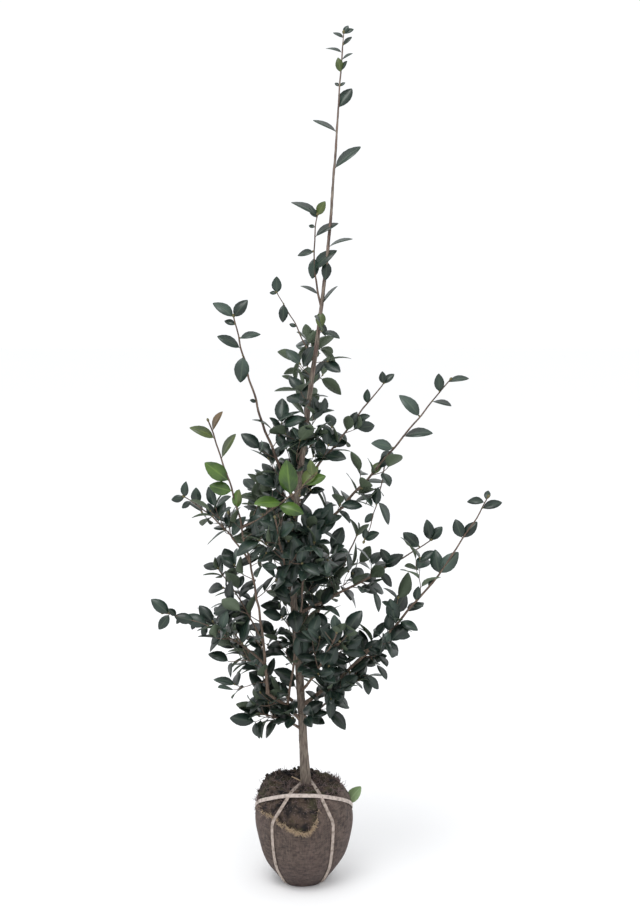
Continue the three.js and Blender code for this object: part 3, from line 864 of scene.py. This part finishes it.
# The leaves that stand clear of the rest, by bough: height, bearing, angle above the level, length, tone and,
# for those that turn their edge to the front, how far they face it from 0 to 1.
# Where these take the darkest tone, it is painted shade, and where they take the greyest tone, it is painted
# light and sheen.
STANDING = {
    "trunk": [(1671, -18, 64, 18, "mid"), (1671, -9, 33, 21, "mid"), (1661, 166, 42, 24, "mid", 0.5),
        (1647, -7, 49, 24, "mid", 0.5), (1632, 174, 27, 33, "mid", 0.3), (1619, -24, 44, 24, "mid", 0.5),
        (1598, -113, 68, 28, "olive"), (1600, -51, 50, 22, "mid"), (1572, -18, 40, 13, "mid"),
        (1572, 161, 40, 13, "mid"), (1532, 6, 58, 46, "mid", 0.65), (1490, 169, 36, 52, "mid", 0.15),
        (1421, 1, 46, 66, "mid", 0.35), (1272, -11, 36, 50, "mid", 0.25), (1247, -93, -66, 38, "mid"),
        (1164, -21, 58, 48, "mid", 0.45), (1150, -93, -60, 34, "olive"), (1132, -50, -50, 32, "deep")],
    "twin_leader": [(1342, 171, 38, 58, "mid", 0.35), (1338, -54, 55, 32, "olive"),
        (1330, 175, 60, 26, "mid"), (1312, 156, 17, 15, "mid"), (1291, -2, 46, 52, "mid", 0.55),
        (1264, 173, -2, 34, "mid", 0.45), (1255, -103, -80, 42, "mid"), (1231, -25, 52, 56, "mid", 0.7),
        (1181, 182, 38, 38, "mid", 0.3)],
    "left_twig": [(1190, -98, 62, 34, "mid"), (1184, 177, 10, 16, "mid"), (1165, -85, -70, 36, "mid"),
        (1120, 177, 20, 16, "mid")],
    "left_upper": [(1142, 177, 43, 51, "grey", 0.55), (1140, -21, 55, 43, "mid"),
        (1121, -177, 29, 24, "mid"), (1078, -162, 35, 52, "mid", 0.5), (1095, 3, 26, 43, "mid", 0.6),
        (1065, -112, -75, 53, "grey"), (973, -148, 19, 15, "mid")],
    "left_tall": [(930, -45, 70, 44, "bronze", 0.4), (913, -161, 38, 52, "olive", 0.5),
        (875, -10, 66, 56, "olive", 0.4), (830, -155, 39, 61, "young"), (809, -164, 17, 46, "young"),
        (778, -90, 70, 37, "young"), (782, -78, 70, 34, "olive")],
    "front_spray": [(805, -118, 72, 70, "young"), (827, 3, 30, 46, "young"), (784, -24, -6, 52, "young"),
        (791, -146, 8, 60, "young"), (843, -111, 70, 32, "olive"), (765, -180, -32, 43, "mid"),
        (823, 4, 60, 48, "olive")],
    "right_upper": [(998, -99, 70, 38, "mid"), (1017, -7, 23, 41, "mid", 0.6),
        (979, -29, 4, 41, "mid", 0.35), (948, -179, 58, 58, "grey", 0.5), (913, -13, 20, 58, "mid", 0.4),
        (851, -25, 44, 41, "deep"), (889, -145, 25, 48, "grey"), (836, 0, 55, 34, "olive")],
    "right_crest": [(1006, -103, 70, 26, "mid"), (1017, -3, 49, 30, "mid"), (966, -101, 70, 29, "mid"),
        (934, -25, 22, 32, "mid"), (919, -4, 70, 34, "deep")],
    "right_hanging": [(778, -96, 70, 37, "mid"), (763, -169, -48, 27, "mid"), (682, -36, 36, 35, "mid"),
        (709, -75, 70, 25, "mid")],
    "right_lower": [(786, 179, 14, 34, "mid", 0.7), (790, 60, 62, 22, "mid"),
        (774, 2, 22, 42, "deep", 0.8), (714, 172, 68, 40, "mid", 0.9), (714, 4, 52, 44, "deep", 0.9),
        (643, -24, 53, 57, "grey"), (643, 176, 76, 48, "mid", 0.9), (585, -81, 70, 31, "mid"),
        (577, -37, 6, 24, "mid"), (537, 178, 76, 54, "mid", 0.45), (522, -101, 70, 38, "deep"),
        (545, -36, -3, 42, "mid"), (522, 0, -11, 43, "deep"), (474, -24, 51, 43, "mid"),
        (463, 4, -10, 38, "mid"), (615, 1, 67, 16, "mid")],
    "right_middle": [(691, -109, 70, 44, "mid"), (694, -15, 52, 38, "mid"), (674, -170, 44, 45, "mid"),
        (643, -168, 57, 37, "mid"), (635, -13, 46, 46, "deep"), (628, -11, -37, 41, "deep")],
    "left_outer_high": [(799, 177, -11, 29, "mid"), (797, -97, 70, 32, "mid"), (778, -174, -34, 24, "mid"),
        (773, -97, 70, 36, "mid"), (751, 175, 70, 30, "deep")],
    "left_outer_low": [(560, -165, 43, 46, "mid"), (560, -156, -52, 38, "mid"), (557, -143, 46, 23, "mid"),
        (554, -160, -52, 16, "mid"), (547, -176, 16, 42, "mid", 0.8), (547, -135, -63, 18, "deep"),
        (538, 178, 24, 52, "mid", 0.8), (539, -110, -50, 24, "deep"), (531, -60, 30, 36, "deep"),
        (524, 176, -34, 32, "deep", 0.5)],
}
# Twigs of some limbs below their leafy part: height, bearing, angle above the level, length and tone.
# Most of these low twigs carry the darkest leaf tone, which is painted shade.
LOW_TWIGS = {
    "trunk": [(340, -150, 4, 44, "deep"), (344, -60, 2, 46, "deep"), (352, -104, 12, 50, "deep"),
        (374, -140, 6, 54, "deep"), (724, 150, 20, 74, "mid"), (748, 60, 20, 70, "deep"),
        (776, 170, 26, 72, "mid"), (800, 90, 26, 66, "mid"), (828, 30, 30, 52, "mid")],
    "left_low": [(366, -172, 14, 66, "deep"), (388, 168, 22, 58, "deep")],
    "left_tall": [(424, 174, -4, 72, "deep"), (450, -160, 10, 80, "deep"), (492, 164, 24, 54, "deep"),
        (548, 176, 28, 48, "deep"), (596, -40, 30, 60, "deep"), (634, 170, 30, 46, "mid"),
        (660, -20, 40, 56, "mid"), (700, 20, 30, 60, "mid"), (716, -60, 20, 44, "mid"),
        (742, 24, 10, 58, "mid")],
    "left_upper": [(806, -60, 30, 54, "deep"), (822, 178, 24, 50, "mid"), (842, -10, 40, 52, "mid"),
        (862, -150, 30, 42, "deep"), (884, 10, 44, 50, "mid"), (906, -24, 40, 36, "mid")],
    "right_upper": [(708, -60, 30, 42, "deep"), (734, 110, 40, 42, "deep"), (758, -90, 20, 34, "deep")],
    "right_lower": [(400, -70, 14, 54, "deep"), (424, -14, -8, 58, "deep"), (446, 100, 20, 58, "deep"),
        (470, -60, 0, 56, "deep"), (494, -110, 10, 50, "deep"), (596, 70, 80, 72, "mid")],
}
TURN = math.radians(166)  # from one leaf to the next round the shoot

twigs = []
leaves = []  # place, direction, upper face, length in metres, tone
buds = []  # place, direction, length in metres


def beside(axis, turn):
    """The direction at right angles to an axis, so far round it from the level."""
    level = axis.cross(UP)
    if level.length < 0.2:
        level = Vector((1, 0, 0)) - axis * axis.x
    level.normalize()
    over = level.cross(axis).normalized()
    return level * math.cos(turn) + over * math.sin(turn)


def facing(place, seed):
    """The side a leaf turns its upper face to: up, and outwards to the front or the back."""
    outwards = Vector((place.x * 1.6, -0.12 if place.y < 0.05 else 0.12, 0)).normalized()
    return UP * 0.75 + outwards * 0.45 + any_way(seed) * 0.45


# The low and the high corner of the space in front of the bright young spray, where nothing older grows.
SPRAY_SPACE = ((-0.16, -1.0, 0.75), (0.05, -0.01, 0.875))


def in_the_clear(place):
    """Whether a place is in that space."""
    return all(low < value < high for value, low, high in zip(place, *SPRAY_SPACE))


def reaches_out(tip):
    """Whether a leaf's tip would stand clear of the shrub's own spread."""
    margin = 6 * MM
    return any(value < low - margin or value > high + margin for value, low, high in zip(tip, *cad_box))


def bear_leaf(place, axis, turn, length, tone, seed, spread=1.0):
    """One leaf: it leaves its shoot at a slant, arches over and turns its upper face to the light."""
    if in_the_clear(place):
        return
    slant = math.radians(seed.uniform(40, 70)) * spread
    direction = axis * math.cos(slant) + beside(axis, turn) * math.sin(slant)
    direction += UP * seed.uniform(-0.2, 0.35)
    # About one leaf in eight takes the greyest tone, a lighter copy that is painted light and sheen.
    if seed.random() < 0.12:
        tone = "grey"
    if reaches_out(place + direction.normalized() * length):
        return
    leaves.append((place.copy(), direction.normalized(), facing(place, seed) + axis * 0.2, length, tone))


def bear_bud(place, direction, length):
    """One bud, whose foot is at a place on its shoot."""
    buds.append((place.copy(), direction.normalized(), length))


def grow_twig(start, direction, length, tone, seed, leaf_length=50 * MM):
    """A side twig that bends up to the light, with leaves in turn and leaves or a bud at its end."""
    steps = max(3, round(length / (6 * MM)))
    radius = seed.uniform(0.8, 1.1) * MM
    heading = direction.normalized()
    point = start.copy()
    line = [(point.copy(), radius * 1.4)]
    turn = seed.uniform(0, 2 * math.pi)
    since = 0.0
    gap = seed.uniform(15, 21) * MM
    for step in range(1, steps + 1):
        heading = (heading + UP * 0.06 + wavering(point, 0.25, 40, length * 900)).normalized()
        point += heading * (length / steps)
        line.append((point.copy(), radius * (1 - 0.35 * step / steps)))
        since += length / steps
        if since > gap and step < steps:
            since = 0.0
            bear_leaf(point, heading, turn, leaf_length * seed.uniform(0.72, 1.12), tone, seed)
            turn += TURN + seed.uniform(-0.35, 0.35)
        if length > 48 * MM and step == steps // 2:
            side_length = length * seed.uniform(0.4, 0.6)
            grow_twig(point, heading + beside(heading, turn), side_length, tone, seed, leaf_length * 0.9)
    twigs.append(line)
    bear_leaf(point, heading, turn, leaf_length * seed.uniform(0.8, 1.15), tone, seed, 0.4)
    if seed.random() < 0.5:
        bear_leaf(point, heading, turn + TURN, leaf_length * seed.uniform(0.6, 0.9), tone, seed, 0.9)
    if seed.random() < 0.5:
        bear_bud(point, heading + UP * 0.2, seed.uniform(5, 8) * MM)


for number, (name, (first, twig_count, twig_length, gap, until, tone)) in enumerate(HABIT.items()):
    seed = random.Random(100 + number)
    line = lines[name]
    last = len(line) - 1
    first_step = int(BOUGHS[name][7] * last)
    end_step = first_step + (last - first_step) * until
    turn = math.radians(first)
    since = 0.0
    leafy = end_step - first_step
    twig_steps = [round(first_step + leafy * (k + 0.4) / (twig_count + 0.6)) for k in range(twig_count)]
    for step in range(max(1, first_step), last):
        point = line[step][0]
        heading = (line[step + 1][0] - line[step - 1][0]).normalized()
        share = (step - first_step) / max(1, last - first_step)
        for _ in range(twig_steps.count(step)):
            side = beside(heading, turn + math.pi * seed.choice((0.5, -0.5)) + seed.uniform(-0.5, 0.5))
            length = twig_length * seed.uniform(0.65, 1.25) * (1.15 - 0.55 * share) * MM
            grow_twig(point, heading * 0.75 + side + UP * 0.2, length, tone, seed)
        since += BOUGH_STEP
        if since >= gap * MM and step <= end_step:
            since = 0.0
            size = seed.uniform(42, 54) * (1.05 - 0.22 * share) * MM
            bear_leaf(point, heading, turn, size, tone, seed)
            turn += TURN + seed.uniform(-0.25, 0.25)
    heading = (line[-1][0] - line[-3][0]).normalized()
    if name not in STANDING:
        for extra in range(3):
            bear_leaf(line[-1][0], heading, turn + extra * 2.2, seed.uniform(28, 40) * MM, tone, seed, 0.55)
    bear_bud(line[-1][0], heading, 8 * MM)

low_seed = random.Random(23)
for name, low_twigs in LOW_TWIGS.items():
    for height, bearing, lift, length, tone in low_twigs:
        direction = aimed(math.radians(bearing), math.radians(lift))
        grow_twig(point_at_height(lines[name], height * MM), direction, length * MM, tone, low_seed)

standing_seed = random.Random(41)
for name, clear in STANDING.items():
    for height, bearing, lift, length, tone, *share in clear:
        place = min((point for point, _ in lines[name]), key=lambda point: abs(point.z - height * MM))
        direction = aimed(math.radians(bearing), math.radians(lift))
        front = share[0] if share else 0.85
        face = Vector((0, -front, math.sqrt(1 - front**2))) + direction.cross(Vector((0, 1, 0))) * 0.2
        face += any_way(standing_seed) * 0.3 * front
        leaves.append((place.copy(), direction, face, length * MM, tone))
        if standing_seed.random() < 0.5:
            bear_bud(place, direction + UP, 5 * MM)

# One fallen young leaf is caught between the ball and the belt.
caught_along = Vector((0.55, -0.05, 0.8)).normalized()
leaves.append((Vector((88, 24, 146)) * MM, caught_along, Vector((-0.5, -0.8, 0.3)), 48 * MM, "fallen"))

# The stem's own twigs: thick in the middle of the shrub, shorter and further apart towards the leader.
LOWEST, HIGHEST = 0.366, 1.118  # metres
LONGEST = 88  # millimetres
stem_seed = random.Random(77)
height = LOWEST
bearing = 0.0
while height < HIGHEST:
    share = (height - LOWEST) / (HIGHEST - LOWEST)
    length = (LONGEST - 146 * max(0.0, share - 0.5)) * stem_seed.uniform(0.6, 1.2) * MM
    # Twigs from the stem in the shrub's middle mostly take the darkest leaf tone, which is painted shade.
    tone = stem_seed.choice(("deep", "deep", "mid"))
    direction = aimed(bearing) + UP * stem_seed.uniform(0.25, 0.95)
    grow_twig(stem_at(height)[0], direction, length, tone, stem_seed)
    bearing += 2.4 + stem_seed.uniform(-0.35, 0.35)
    height += (18 + 10 * share) * MM
bear_bud(stem_at(stem_tip)[0], UP, 8 * MM)

piece_of("twigs", tube_mesh("twigs", twigs, 6), [young_bark])


# ---- Leaves --------------------------------------------------------------------------------------
# Leathery evergreen leaves, elliptic with a blunt drawn-out tip and a short stalk, folded along the midrib
# and arched over. The upper face is dark and glossy, and the under face is paler and matt.

LEAF_VARIANTS = 6
STATIONS = 9  # along a leaf
STALK = 0.08  # of its length
LEAF_THICKNESS = 0.01  # of its length


def leaf_template(variant):
    """A leaf of unit length along +X, its upper face towards +Z: a thin closed solid of two materials."""
    seed = random.Random(500 + variant)
    fold = seed.uniform(0.08, 0.32)
    arch = seed.uniform(0.08, 0.34)
    slim = seed.uniform(0.25, 0.305)
    twist = seed.uniform(-0.3, 0.3)
    shape = bmesh.new()
    layer = shape.loops.layers.uv.new("leaf")
    bmesh.ops.create_grid(shape, x_segments=STATIONS, y_segments=2, size=1)
    for face in shape.faces:
        for loop in face.loops:
            loop[layer].uv = ((loop.vert.co.x + 1) / 2, (loop.vert.co.y + 1) / 2)
    for vert in shape.verts:
        station = round((vert.co.x + 1) / 2 * STATIONS)
        blade = 0.0 if station < 2 else (1 - math.cos(math.pi * (station - 1) / (STATIONS - 1))) / 2
        along = STALK * min(station, 1) + (1 - STALK) * blade
        half = slim * max(0.0, math.sin(math.pi * blade**0.94)) ** 0.72
        y = vert.co.y * max(half, 0.004 if station == STATIONS else 0.016)
        z = fold * abs(y) * (1 - 0.3 * blade) - arch * blade**2
        turn = twist * blade
        vert.co.x = along * (1 - 0.12 * arch * blade)
        vert.co.y = y * math.cos(turn) - z * math.sin(turn) * 0.3
        vert.co.z = z + y * math.sin(turn)
    upper = list(shape.faces)
    bmesh.ops.recalc_face_normals(shape, faces=upper)
    if sum(face.normal.z for face in upper) < 0:
        bmesh.ops.reverse_faces(shape, faces=upper)
    bmesh.ops.solidify(shape, geom=upper, thickness=LEAF_THICKNESS)
    for face in shape.faces:
        face.material_index = 0 if face in upper else 1
    return mesh_of("leaf_template", shape, smooth=True)


def leaf_materials(name, dark, light, under, roughness):
    """The upper and the under face of a leaf: tone differs from leaf to leaf, and the midrib is paler."""
    made = []
    vein_colour = [channel * 1.25 for channel in linear(under)[:3]] + [1.0]
    for side, sheen in (("upper", roughness), ("under", 0.7)):
        leaf, shader, place = new_material(f"{name} leaf {side} face", sheen)
        skin = linear(under)
        if side == "upper":
            skin = blend(leaf, clouds(leaf, place, 24.0, 2.0, 0.34, 0.66), dark, light)
        flat = add(leaf, "UVMap", {}, uv_map="leaf").outputs[0]
        parts = add(leaf, "SeparateXYZ", {"Vector": flat}).outputs
        off = add(leaf, "Math", {0: parts["Y"], 1: 0.5}, operation="SUBTRACT").outputs[0]
        off = add(leaf, "Math", {0: off}, operation="ABSOLUTE").outputs[0]
        rib = add(leaf, "MapRange", {0: off, 1: 0.02, 2: 0.075, 3: 1.0, 4: 0.0}).outputs[0]
        veins = add(leaf, "Math", {0: off, 1: -0.55, 2: parts["X"]}, operation="MULTIPLY_ADD").outputs[0]
        veins = add(leaf, "Math", {0: veins, 1: 50.0}, operation="MULTIPLY").outputs[0]
        veins = add(leaf, "Math", {0: veins}, operation="SINE").outputs[0]
        veins = add(leaf, "MapRange", {0: veins, 1: 0.75, 2: 1.0, 4: 0.22}).outputs[0]
        marks = add(leaf, "Math", {0: veins, 1: rib}, operation="ADD", use_clamp=True).outputs[0]
        marks = add(leaf, "Math", {0: marks, 1: 0.3}, operation="MULTIPLY").outputs[0]
        colour = blend(leaf, marks, skin, vein_colour)
        finish(leaf, shader, colour, marks, 0.5, 0.25 * MM, invert=side == "upper")
        made.append(leaf)
    return made


# Cutin-coated evergreen leaf: blue-green and shiny above from its wax, dull and yellower below. The mid lot
# is last year's leaves. The darkest lot is a darker copy of them, painted shade for the thick middle of the
# shrub and its low boughs, and the greyest lot is a lighter, greyer copy, painted light and sky sheen on lit
# leaves.
# The olive, young and bronze lots are this spring's, and brighter.
TONES = {
    "deep": leaf_materials("deep", 0x0F1A16, 0x1E3029, 0x414E3B, 0.34),
    "mid": leaf_materials("mid", 0x15231D, 0x293C33, 0x4B5843, 0.34),
    "grey": leaf_materials("grey", 0x283831, 0x3E4F46, 0x576450, 0.4),
    "olive": leaf_materials("olive", 0x36451F, 0x56642F, 0x6E7844, 0.36),
    "young": leaf_materials("young", 0x2B4517, 0x4F6E26, 0x6F8840, 0.36),
    "fallen": leaf_materials("fallen", 0x748F5C, 0x9DB086, 0xA4B590, 0.45),
    "bronze": leaf_materials("bronze", 0x4E3F26, 0x6B5534, 0x7A6848, 0.34),
}

templates = [leaf_template(variant) for variant in range(LEAF_VARIANTS)]
pick = random.Random(9)
for tone, finishes in TONES.items():
    shape = bmesh.new()
    for place, direction, face, length, _ in [leaf for leaf in leaves if leaf[-1] == tone]:
        along = direction.normalized()
        across = face.cross(along)
        if across.length < 0.05:
            across = Vector((0, -1, 0.3)).cross(along)
        across.normalize()
        turn = Matrix((along, across, along.cross(across))).transposed().to_4x4()
        first_vert = len(shape.verts)
        shape.from_mesh(pick.choice(templates))
        shape.verts.ensure_lookup_table()
        matrix = Matrix.Translation(place) @ turn @ Matrix.Scale(length, 4)
        bmesh.ops.transform(shape, matrix=matrix, verts=shape.verts[first_vert:])
    leaf_mesh = mesh_of(f"{tone}_leaves", shape)
    piece_of(f"{tone}_leaves", leaf_mesh, finishes)

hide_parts(*[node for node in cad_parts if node.startswith("foliage_")])
for mesh in templates:
    bpy.data.meshes.remove(mesh)


# ---- Buds ----------------------------------------------------------------------------------------
# Pointed buds of overlapping green-brown scales, 5 to 8 mm long. They grow at the ends of the shoots and in
# the angle of some leaf stalks.

shape = bmesh.new()
for place, direction, length in buds:
    made = bmesh.ops.create_uvsphere(shape, u_segments=8, v_segments=7, radius=1)["verts"]
    for vert in made:
        tip = max(0.0, vert.co.z)
        scale = (1 - 0.55 * tip * tip) * (1 + 0.08 * math.sin(9 * vert.co.z))
        vert.co.x *= 0.34 * scale
        vert.co.y *= 0.34 * scale
        vert.co.z = 0.5 + 0.5 * vert.co.z
    turn = direction.to_track_quat("Z", "Y").to_matrix().to_4x4()
    bmesh.ops.transform(shape, matrix=Matrix.Translation(place) @ turn @ Matrix.Scale(length, 4), verts=made)
# Bud scales: dull green, tan at the dry edges of each scale.
scales = streaked("bud scales", 0.6, 300.0, 0x3F4A2C, 0x7A6A45)
piece_of("buds", mesh_of("buds", shape, smooth=True), [scales])
